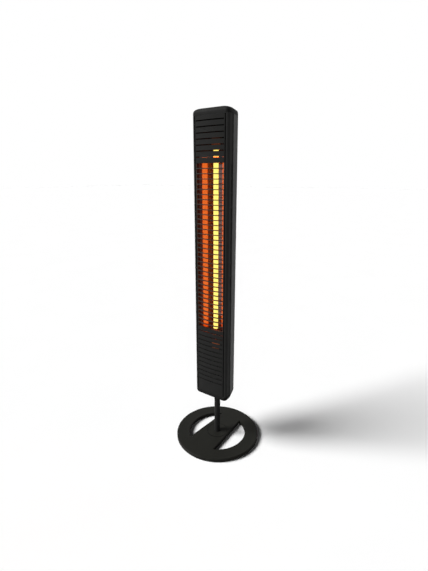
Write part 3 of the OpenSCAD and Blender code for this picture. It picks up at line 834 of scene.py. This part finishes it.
@dataclass(frozen=True)
class SocketScrew:
    """Screw with a round-edged head and a hexagon socket, head upwards on its seat at height 0."""

    shank_r: float
    shank_len: float
    head_r: float
    head_h: float
    point: float = 0.0008
    edge_share: float = 0.22
    socket_share: float = 0.45
    mouth_flare: float = 1.08
    mouth_depth: float = 0.1
    floor_share: float = 0.4

    def add(self, mesh: Mesh, place: Matrix) -> None:
        """Adds the screw to a mesh.

        Args:
            mesh: The mesh that grows.
            place: Its seat, Z along the head.
        """
        soft = self.head_h * self.edge_share
        mid = soft * EDGE_MID
        socket = self.head_r * self.socket_share
        shank = stack((self.shank_r - self.point, -self.shank_len), (self.shank_r, self.point - self.shank_len))
        seat = stack((self.shank_r, 0.0), (self.head_r, 0.0), (self.head_r, self.head_h - soft))
        edge = stack((self.head_r - mid, self.head_h - mid), (self.head_r - soft, self.head_h))
        mouth = ((socket * self.mouth_flare, self.head_h), (socket, self.head_h - socket * self.mouth_depth))
        walls = stack(*mouth, (socket, self.head_h * self.floor_share), shape=Shape.HEX)
        turn(mesh, shank + seat + edge + walls, place)


@dataclass
class BaseAndPole:
    """Round plate, its hub and pads, the pole and what fixes it."""

    coats: Coats = (
        ("base_plate", Coat.BASE),
        ("pole_hub", Coat.HUB),
        ("pole_foot_plug", Coat.ZINC),
        ("pole_grub_screw", Coat.ZINC),
        ("pole", Coat.POLE),
        ("pole_block", Coat.CAST),
    )
    pads: int = 6
    pad_ring: float = 0.132
    pad_h: float = 0.003
    pad: Profile = (
        *stack((0.009, 0.0), (0.009, 0.0023), (0.0083, 0.003)),
        *stack((0.0064, 0.003), (0.0061, 0.0025), (0.0048, 0.0025), (0.0045, 0.003)),
    )
    hub_screw: SocketScrew = SocketScrew(0.0024, 0.0064, 0.0042, 0.0036)
    hub_screws: int = 4
    hub_screw_ring: float = 0.03285
    hub_screw_seat: float = 0.0056
    bolt_seat: float = 0.0082
    bolt: Profile = (
        *stack((0.004, -0.025), (0.0048, -0.0242), (0.0048, 0.0), (0.0078, 0.0)),
        *stack((0.008, 0.0003), (0.008, 0.0047), shape=Shape.HEX),
        *stack((0.0076, 0.0058), (0.0052, 0.0058), (0.0049, 0.0054)),
    )

    def foot_pads(self) -> None:
        """Builds the pads: chamfered discs with a ring groove in the sole."""
        piece = Piece("foot_pads_soles", Coat.RUBBER, "rubber", replaces=("foot_pads",))
        for x, y in spots_round(self.pad_ring, self.pads):
            turn(piece.mesh, self.pad, facing_down(x, y, self.pad_h))
        piece.place()

    def fixings(self) -> None:
        """Builds the hub's socket screws and the pole's hexagon bolt, seen from underneath."""
        screws = Piece("hub_socket_screws", Coat.ZINC, "zinc_steel", replaces=("hub_screws",))
        for x, y in spots_round(self.hub_screw_ring, self.hub_screws):
            self.hub_screw.add(screws.mesh, facing_down(x, y, self.hub_screw_seat))
        screws.place()
        bolt = Piece("pole_hex_bolt", Coat.ZINC, "zinc_steel", replaces=("pole_bolt",))
        turn(bolt.mesh, self.bolt, facing_down(0.0, 0.0, self.bolt_seat))
        bolt.place()

    def build(self) -> None:
        """Dresses the plate and pole and builds the pads and fixings."""
        dress(self.coats)
        self.foot_pads()
        self.fixings()


@dataclass(frozen=True)
class HeadPlan:
    """The head's outline seen from above, and the screw ports in its corners."""

    half_width: float = 0.064
    front: float = 0.045
    back: float = 0.040
    front_r: float = 0.0115
    back_r: float = 0.015
    taper_start: float = 0.017
    taper: float = math.radians(17)
    port_front: Spot = (0.0572, -0.0305)
    port_back: Spot = (0.04233, 0.03186)

    def outline(self, steps: int = 14) -> list[Spot]:
        """Draws the outline, anticlockwise from the front.

        Args:
            steps: Points to a corner.

        Returns:
            The points.
        """
        lean = Vector((math.cos(self.taper), math.sin(self.taper)))
        reach = lean.dot(Vector((self.half_width, -self.taper_start)))
        back_y = self.back - self.back_r
        back_x = (reach - self.back_r - lean.y * back_y) / lean.x
        front_spot = (self.half_width - self.front_r, self.front_r - self.front)
        half = arc(front_spot, self.front_r, -math.pi / 2, 0.0, steps)
        half.append((self.half_width, -self.taper_start))
        half += arc((back_x, back_y), self.back_r, self.taper, math.pi / 2, steps)
        return half + [(-x, y) for x, y in reversed(half)]


@dataclass
class EndCap:
    """Moulded pillow cap with screw wells, the seam face at height 0 and the dome upwards."""

    name: str
    place: Matrix
    ports: tuple[Spot, ...]
    pole_hole: bool = False
    plan: HeadPlan = HeadPlan()
    height: float = 0.021
    power: float = 3.8
    crown: float = 0.12
    levels: int = 18
    well_r: float = 0.0039
    bore_r: float = 0.0022
    pole_r: float = 0.0108
    grip: float = 0.012
    over: float = 0.001
    tab_len: float = 0.005
    tab_gap: float = 0.00002
    tab_spots: tuple[tuple[float, float, float, float], ...] = (
        (0.020, 0.030, 0.0357, 0.0377),
        (0.0582, 0.0602, -0.0262, -0.0187),
    )

    def dome(self, mesh: Mesh) -> None:
        """Draws the outline in, level by level, to the crown.

        Args:
            mesh: The mesh that grows.
        """
        outline = self.plan.outline()
        mid = (self.plan.back - self.plan.front) / 2
        sections = []
        for i in range(self.levels):
            a = math.pi / 2 * i / (self.levels - 1)
            spread = max(math.cos(a) ** (2 / self.power), self.crown)
            z = self.height * min(math.sin(a) ** (2 / self.power), 1.0)
            points = [Vector((x * spread, mid + (y - mid) * spread, z)) for x, y in outline]
            sections.append([self.place @ point for point in points])
        loft(mesh, sections)

    def tabs(self, mesh: Mesh) -> None:
        """Adds the tabs that locate the cap inside the casing.

        Args:
            mesh: The mesh that grows.
        """
        for side in (-1, 1):
            for x0, x1, y0, y1 in self.tab_spots:
                ends = ((x0, y0, -self.tab_len), (x1, y1, -self.tab_gap))
                ends = [self.place @ Vector((side * x, y, z)) for x, y, z in ends]
                low, high = Vector(map(min, *ends)), Vector(map(max, *ends))
                where = Matrix.Translation((high + low) / 2) @ Matrix.Diagonal((*(high - low), 1.0))
                bmesh.ops.create_cube(mesh, size=1.0, matrix=where)

    def build(self) -> None:
        """Builds the cap in place of its plain solid."""
        piece = Piece(f"{self.name}_dome", Coat.CAP, "cap_plastic", replaces=(self.name,))
        piece.cutters = bmesh.new()
        piece.fittings = bmesh.new()
        self.dome(piece.mesh)
        self.tabs(piece.fittings)
        top = self.height + self.over
        for x, y in self.ports:
            for side in (-1, 1):
                where = self.place @ Matrix.Translation((side * x, y, 0.0))
                bore = stack((self.bore_r, -self.over), (self.bore_r, self.grip))
                well = stack((self.well_r, self.grip), (self.well_r, top))
                turn(piece.cutters, bore + well, where, steps=32)
        if self.pole_hole:
            turn(piece.cutters, stack((self.pole_r, -self.over), (self.pole_r, top)), self.place, steps=64)
        piece.place()


@dataclass
class Guard:
    """Bowed bars with soft edges between two upright rails."""

    bars: int = 34
    pitch: float = 0.015
    low: float = 0.4425
    high: float = 0.9675
    bar_h: float = 0.0026
    bar_depth: float = 0.005
    half: float = 0.050
    face_y: float = -0.0437
    bow: float = 0.0085
    soft: float = 0.0006
    steps: int = 26
    rail_x: float = 0.050
    rail_y: float = -0.0411
    rail_w: float = 0.003
    rail_depth: float = 0.0062
    rail_gap: float = 0.0006

    def bar(self, mesh: Mesh, z: float) -> None:
        """Adds one bowed bar.

        Args:
            mesh: The mesh that grows.
            z: The height of the bar's middle.
        """
        radius = (self.half**2 + self.bow**2) / (2 * self.bow)
        centre_y = self.face_y - self.bow + radius
        sweep = math.asin(self.half / radius)
        sections = []
        for i in range(self.steps + 1):
            a = sweep * (2 * i / self.steps - 1)
            points = []
            for depth, up in rounded_rect(self.bar_depth, self.bar_h, self.soft, steps=3):
                r = radius - self.bar_depth / 2 - depth
                points.append((r * math.sin(a), centre_y - r * math.cos(a), z + up))
            sections.append(points)
        loft(mesh, sections)

    def rail(self, mesh: Mesh, x: float) -> None:
        """Adds one upright rail with soft edges.

        Args:
            mesh: The mesh that grows.
            x: Where the rail stands.
        """
        z0, z1 = self.low + self.rail_gap, self.high - self.rail_gap
        sections = []
        for z, less in ((z0, self.soft), (z0 + self.soft, 0.0), (z1 - self.soft, 0.0), (z1, self.soft)):
            outline = rounded_rect(self.rail_w - less, self.rail_depth - less, self.soft)
            sections.append([(x + u, self.rail_y + v, z) for u, v in outline])
        loft(mesh, sections)

    def build(self) -> None:
        """Builds the bars and rails in place of the plain solid."""
        piece = Piece("guard_bars", Coat.GUARD, "guard_paint", replaces=("guard_grille",))
        for number in range(1, self.bars + 1):
            self.bar(piece.mesh, self.low + number * self.pitch)
        for side in (-1, 1):
            self.rail(piece.mesh, side * self.rail_x)
        piece.place()


@dataclass
class Head:
    """Casing, end caps, gaskets, slatted panels and guard."""

    coats: Coats = (
        ("casing", Coat.CASING),
        ("top_gasket", Coat.RUBBER),
        ("bottom_gasket", Coat.RUBBER),
        ("upper_panel", Coat.PANEL),
        ("lower_panel", Coat.PANEL),
    )
    seam_low: float = 0.198
    seam_high: float = 1.099
    plan: HeadPlan = HeadPlan()
    cap_screw: SocketScrew = SocketScrew(0.0019, 0.026, 0.0036, 0.0026)
    cap_grip: float = 0.012
    block_screw: SocketScrew = SocketScrew(0.0029, 0.022, 0.0055, 0.0033)
    block_screw_z: tuple[float, ...] = (0.210, 0.231)

    def caps(self) -> None:
        """Builds both end caps, the lower one upside down."""
        front, back = self.plan.port_front, self.plan.port_back
        under = Matrix.Translation((0, 0, self.seam_low)) @ Matrix.Diagonal((1, 1, -1, 1))
        EndCap("bottom_cap", under, (front, back), pole_hole=True).build()
        EndCap("top_cap", Matrix.Translation((0, 0, self.seam_high)), (back,)).build()

    def screws(self) -> None:
        """Builds the socket screws of both caps and of the pole block."""
        front, back = self.plan.port_front, self.plan.port_back
        under = Matrix.Translation((0, 0, self.seam_low)) @ Matrix.Rotation(math.pi, 4, "Y")
        over = Matrix.Translation((0, 0, self.seam_high))
        for node, place, ports in (("bottom_cap_screws", under, (front, back)), ("top_cap_screws", over, (back,))):
            piece = Piece(f"{node}_heads", Coat.OXIDE, "zinc_steel", replaces=(node,))
            for x, y in ports:
                for side in (-1, 1):
                    self.cap_screw.add(piece.mesh, place @ Matrix.Translation((side * x, y, self.cap_grip)))
            piece.place()
        piece = Piece("block_screws_heads", Coat.OXIDE, "zinc_steel", replaces=("block_screws",))
        for z in self.block_screw_z:
            self.block_screw.add(piece.mesh, facing_back(0.0, self.plan.back, z))
        piece.place()

    def build(self) -> None:
        """Dresses the head's shell and builds its caps, guard and screws."""
        dress(self.coats)
        self.caps()
        Guard().build()
        self.screws()


@dataclass
class Lamp:
    """Glowing tube in its sockets before the dark reflector."""

    coats: Coats = (
        ("quartz_tube", Coat.QUARTZ),
        ("lamp_sockets", Coat.SOCKET),
        ("socket_brackets", Coat.OXIDE),
        ("lamp_leads", Coat.SLEEVE),
        ("reflector", Coat.ENAMEL),
        ("reflector_end_plates", Coat.ENAMEL),
    )
    axis_y: float = -0.011
    low_z: float = 0.4185
    high_z: float = 1.0095
    coil_low: float = 0.4335
    coil_r: float = 0.0078
    coil_ridge: float = 0.0004
    coil_pitch: float = 0.005
    coil_step: float = 0.001
    coil_sides: int = 28
    pin_r: float = 0.0012
    pin_low: float = 0.371
    pin_high: float = 1.025
    pin_sides: int = 16
    strips: int = 8
    strip_r: float = 0.0082
    heat: Colour = (1.0, 0.085, 0.0)
    power: float = 0.118

    def coil(self) -> None:
        """Builds the wound heating element, a close helix on its pins."""
        piece = Piece("heating_coil", Coat.GLOW, "element", replaces=("heating_element",))
        sections = []
        for k in range(round((self.high_z - self.coil_low) / self.coil_step) + 1):
            z = self.coil_low + k * self.coil_step
            points = []
            for i in range(self.coil_sides):
                a = 2 * math.pi * i / self.coil_sides
                r = self.coil_r - self.coil_ridge * (0.5 + 0.5 * math.cos(a - 2 * math.pi * z / self.coil_pitch))
                points.append((r * math.cos(a), self.axis_y + r * math.sin(a), z))
            sections.append(points)
        loft(piece.mesh, sections)
        place = Matrix.Translation((0.0, self.axis_y, 0.0))
        for z0, z1 in ((self.pin_low, self.coil_low), (self.high_z, self.pin_high)):
            turn(piece.mesh, stack((self.pin_r, z0), (self.pin_r, z1)), place, self.pin_sides)
        piece.place()

    def light(self) -> None:
        """Rings the tube with narrow lamps that throw its light on what stands round it."""
        for i, (x, y) in enumerate(spots_round(1.0, self.strips)):
            strip = bpy.data.lights.new(f"lamp_strip_{i}", "AREA")
            strip.shape = "RECTANGLE"
            strip.size = 2 * self.strip_r * math.tan(math.pi / self.strips)
            strip.size_y = self.high_z - self.low_z
            strip.color = self.heat
            strip.energy = self.power
            where = (x * self.strip_r, self.axis_y + y * self.strip_r, (self.low_z + self.high_z) / 2)
            turned = Vector((x, y, 0.0)).to_track_quat("-Z", "Y").to_euler()
            stand(strip.name, strip, where, turned).visible_camera = False

    def build(self) -> None:
        """Dresses the lamp and its reflector, winds its coil and lights them."""
        dress(self.coats)
        self.coil()
        self.light()


@dataclass
class RockerSwitch:
    """Rocker switch: a bezel with soft edges, and a dished rocker with raised marks."""

    z: float = 0.331
    back: float = 0.040
    axis_y: float = 0.0384
    bezel: Spot = (0.025, 0.033)
    bezel_t: float = 0.0022
    bezel_corner: float = 0.0025
    face_corner: float = 0.0022
    body: Spot = (0.0216, 0.0296)
    body_depth: float = 0.020
    body_corner: float = 0.0008
    pocket: Spot = (0.018, 0.0248)
    pocket_floor: float = 0.0314
    pocket_corner: float = 0.0004
    mouth_corner: float = 0.0006
    soft: float = 0.0007
    rocker_r: float = 0.0121
    rocker_hw: float = 0.0087
    rocker_back: float = 0.004
    rocker_face: float = 0.0046
    rocker_dip: float = 0.0016
    rocker_soft: float = 0.00035
    face_steps: int = 16
    end_steps: int = 10
    pin_r: float = 0.0015
    pin_reach: float = 0.0012
    tilt: float = math.radians(7)
    mark_z: float = 0.0062
    mark_h: float = 0.0001
    mark_root: float = -0.0003
    bar_mark: Point = (0.0008, 0.0042, 0.0003)
    ring_mark: Spot = (0.0021, 0.0014)

    def housing(self) -> None:
        """Builds the bezel and body as one open box."""
        piece = Piece("switch_bezel", Coat.SWITCH, "switch_plastic", replaces=("switch_housing",))
        face = self.back + self.bezel_t
        outer_w, outer_h = self.bezel
        inner_w, inner_h = self.pocket
        lip, mid = self.soft, self.soft * EDGE_MID
        stations = (
            (*self.body, self.body_corner, self.back - self.body_depth),
            (*self.body, self.body_corner, self.back),
            (*self.bezel, self.bezel_corner, self.back),
            (*self.bezel, self.bezel_corner, face - lip),
            (outer_w - 2 * mid, outer_h - 2 * mid, self.bezel_corner, face - mid),
            (outer_w - 2 * lip, outer_h - 2 * lip, self.face_corner, face),
            (inner_w + lip, inner_h + lip, self.mouth_corner, face),
            (*self.pocket, self.pocket_corner, face - lip),
            (*self.pocket, self.pocket_corner, self.pocket_floor),
        )
        sections = []
        for width, height, radius, y in stations:
            sections.append([(-u, y, self.z + v) for u, v in rounded_rect(width, height, radius)])
        loft(piece.mesh, sections)
        piece.place()

    def half_face(self) -> float:
        """Gives half the height of the rocker's face."""
        return math.sqrt(self.rocker_r**2 - self.rocker_face**2)

    def face_at(self, up: float) -> float:
        """Gives the dished face's height over the axis at a distance up from its middle."""
        return self.rocker_face - self.rocker_dip * (1 - (up / self.half_face()) ** 2)

    def rocker(self, place: Matrix) -> None:
        """Builds the rocker on its trunnions.

        Args:
            place: The rocker's own axes, Y out of the back.
        """
        piece = Piece("rocker_paddle", Coat.SWITCH, "switch_plastic", "rocker", ("switch_rocker",), self.rocker_soft)
        edge = self.half_face()
        ups = [edge * (1 - 2 * i / self.face_steps) for i in range(self.face_steps + 1)]
        start = math.atan2(-edge, self.rocker_face)
        end = -math.acos(-self.rocker_back / self.rocker_r)
        lower_end = arc((0.0, 0.0), self.rocker_r, start, end, self.end_steps + 1)[1:]
        upper_end = [(y, -z) for y, z in reversed(lower_end)]
        profile = [(self.face_at(up), up) for up in ups] + lower_end + upper_end
        loft(piece.mesh, [[place @ Vector((x, y, z)) for y, z in profile] for x in (-self.rocker_hw, self.rocker_hw)])
        pins = place @ Matrix.Rotation(math.pi / 2, 4, "Y")
        reach = self.rocker_hw + self.pin_reach
        for side in (-1, 1):
            turn(piece.mesh, stack((self.pin_r, side * self.rocker_hw), (self.pin_r, side * reach)), pins, steps=24)
        piece.place()

    def mark_spot(self, place: Matrix, up: float) -> Matrix:
        """Gives axes on the rocker's face whose Z stands off it.

        Args:
            place: The rocker's own axes, Y out of the back.
            up: Distance up from the face's middle.

        Returns:
            The axes.
        """
        slope = 2 * self.rocker_dip * up / (self.rocker_r**2 - self.rocker_face**2)
        lean = Matrix.Rotation(-math.pi / 2 - math.atan(slope), 4, "X")
        return place @ Matrix.Translation((0.0, self.face_at(up), up)) @ lean

    def marks(self, place: Matrix) -> None:
        """Builds the bar and ring marks, raised on the rocker's two halves.

        Args:
            place: The rocker's own axes, Y out of the back.
        """
        piece = Piece("rocker_marks", Coat.MARK, "switch_plastic", "rocker")
        low, high = self.mark_root, self.mark_h
        spot = self.mark_spot(place, self.mark_z)
        outline = rounded_rect(*self.bar_mark)
        loft(piece.mesh, [[spot @ Vector((u, v, h)) for u, v in outline] for h in (low, high)])
        outer, inner = self.ring_mark
        hoop = stack((outer, low), (outer, high), (inner, high), (inner, low))
        turn(piece.mesh, hoop, self.mark_spot(place, -self.mark_z), steps=40, hollow=True)
        piece.place()

    def build(self) -> None:
        """Builds the housing, the rocker and its marks."""
        place = Matrix.Translation((0.0, self.axis_y, self.z)) @ Matrix.Rotation(self.tilt, 4, "X")
        self.housing()
        self.rocker(place)
        self.marks(place)


@dataclass
class CableGland:
    """Cable gland: hexagon, fluted dome nut and a rubber seal."""

    z: float = 0.281
    back: float = 0.040
    nut_steps: int = 144
    nut: Profile = (
        *stack((0.0065, -0.012), (0.0078, -0.012), (0.008, -0.0118), (0.008, 0.0), (0.0108, 0.0)),
        *stack((0.011, 0.0003), (0.011, 0.0054), shape=Shape.HEX),
        *stack((0.0106, 0.006), (0.0099, 0.006), (0.0099, 0.0068)),
        *stack((0.01, 0.0072), (0.01, 0.0135), shape=Shape.FLUTED),
        *stack((0.0097, 0.0142), (0.0092, 0.016), (0.0085, 0.0172), (0.0074, 0.018), (0.0065, 0.018)),
    )
    seal: Profile = (
        *stack((0.004, 0.004), (0.0064, 0.004), (0.0064, 0.0175), (0.006, 0.018)),
        *stack((0.0046, 0.018), (0.0042, 0.0176), (0.004, 0.0168)),
    )

    def build(self) -> None:
        """Builds the gland's body and its seal."""
        place = facing_back(0.0, self.back, self.z)
        body = Piece("gland_dome_nut", Coat.GLAND, "gland_plastic", replaces=("gland_body",))
        turn(body.mesh, self.nut, place, self.nut_steps, hollow=True)
        body.place()
        seal = Piece("gland_rubber_seal", Coat.RUBBER, "rubber", replaces=("gland_seal",))
        turn(seal.mesh, self.seal, place, hollow=True)
        seal.place()


@dataclass
class Controls:
    """Chassis, board, switch and gland."""

    coats: Coats = (
        ("chassis_plate", Coat.OXIDE),
        ("control_board", Coat.BOARD),
        ("terminal_block", Coat.CERAMIC),
        ("tilt_switch", Coat.GLAND),
        ("gland_locknut", Coat.GLAND),
    )

    def build(self) -> None:
        """Dresses what is on the chassis and builds what is on the back."""
        dress(self.coats)
        RockerSwitch().build()
        CableGland().build()


@dataclass(frozen=True)
class SoftLamp:
    """Broad lamp so far off that it lights the floor evenly. Its angles are in degrees."""

    name: str
    bearing: float
    height: float
    spread: float
    strength: float
    distance: float = 3.0

    def place(self) -> None:
        """Sets the lamp at its bearing and height, turned to the heater."""
        bearing, height = math.radians(self.bearing), math.radians(self.height)
        level = math.cos(height)
        toward = Vector((math.cos(bearing) * level, math.sin(bearing) * level, math.sin(height)))
        light = bpy.data.lights.new(self.name, "SUN")
        light.angle = math.radians(self.spread)
        light.energy = self.strength
        stand(self.name, light, toward * self.distance, toward.to_track_quat("Z", "Y").to_euler())


@dataclass
class Studio:
    """White floor, even surroundings, a soft lamp from the left, a low one in front, and the camera.

    The focal length and frame height are in pixels of the photograph, the camera's angles in degrees.
    """

    lamps: tuple[SoftLamp, ...] = (
        SoftLamp("soft_lamp", 222.0, 38.0, 27.0, 4.94),
        SoftLamp("low_fill", 304.0, 5.0, 40.0, 0.65),
    )
    around: float = 0.02
    floor_reach: float = 30.0
    floor_shade: float = 0.985
    floor_mottle: float = 3.0
    floor_tones: Tones = ((0.3, 0.995), (0.7, 1.005))
    bounce_shade: float = 0.3
    focal: float = 366.55
    frame_height: float = 571.0
    sensor: float = 36.0
    nearest: float = 0.05
    eye: Point = (0.6465, -0.9734, 0.9307)
    look_down: float = 16.61
    look_round: float = 34.19

    def floor(self) -> None:
        """Lays the white floor, which keeps the heater's shadow."""
        mesh = bpy.data.meshes.new("floor")
        r = self.floor_reach
        mesh.from_pydata([(-r, -r, 0), (r, -r, 0), (r, r, 0), (-r, r, 0)], [], [(0, 1, 2, 3)])
        obj = stand("floor", mesh)
        sheet = NodeSheet("floor_paint")
        white = sheet.shades(sheet.noise(self.floor_mottle), (self.floor_shade,) * 3, self.floor_tones)
        colour = sheet.mix(sheet.seen(), (self.bounce_shade,) * 3, white)
        sheet.set(Base_Color=colour, Roughness=1.0, Specular_IOR_Level=0.0)
        mesh.materials.append(sheet.material)
        obj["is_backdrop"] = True

    def surroundings(self) -> None:
        """Lights evenly from all round, and shows white to camera, gloss and glass."""
        world = bpy.data.worlds.new("surroundings")
        bpy.context.scene.world = world
        world.use_nodes = True
        nodes = Nodes(world.node_tree)
        level = nodes.node("MapRange", Value=nodes.seen(), To_Min=self.around, To_Max=1.0)
        back = world.node_tree.nodes["Background"]
        nodes.fill(back.inputs["Strength"], level.outputs["Result"])
        nodes.fill(back.inputs["Color"], (1.0, 1.0, 1.0))

    def camera(self) -> None:
        """Sets the camera at the photograph's place and angle."""
        data = bpy.data.cameras.new("camera")
        data.sensor_width = self.sensor
        data.lens = self.sensor * self.focal / self.frame_height
        data.clip_start = self.nearest
        turned = (math.radians(90 - self.look_down), 0.0, math.radians(self.look_round))
        bpy.context.scene.camera = stand("camera", data, self.eye, turned)

    def build(self) -> None:
        """Sets up everything round the heater."""
        bpy.context.scene.view_settings.view_transform = "Standard"
        self.camera()
        self.floor()
        self.surroundings()
        for lamp in self.lamps:
            lamp.place()


def main() -> None:
    """Builds the studio and the heater's sub-assemblies in order."""
    for part in (Studio(), BaseAndPole(), Head(), Lamp(), Controls()):
        log.info("building %s", type(part).__name__)
        part.build()
    boxes = {"cad": CAD_BOUNDS, "visual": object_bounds()}
    {name: [list(map(float, corner)) for corner in box] for name, box in boxes.items()}


if __name__ == "__main__":
    main()
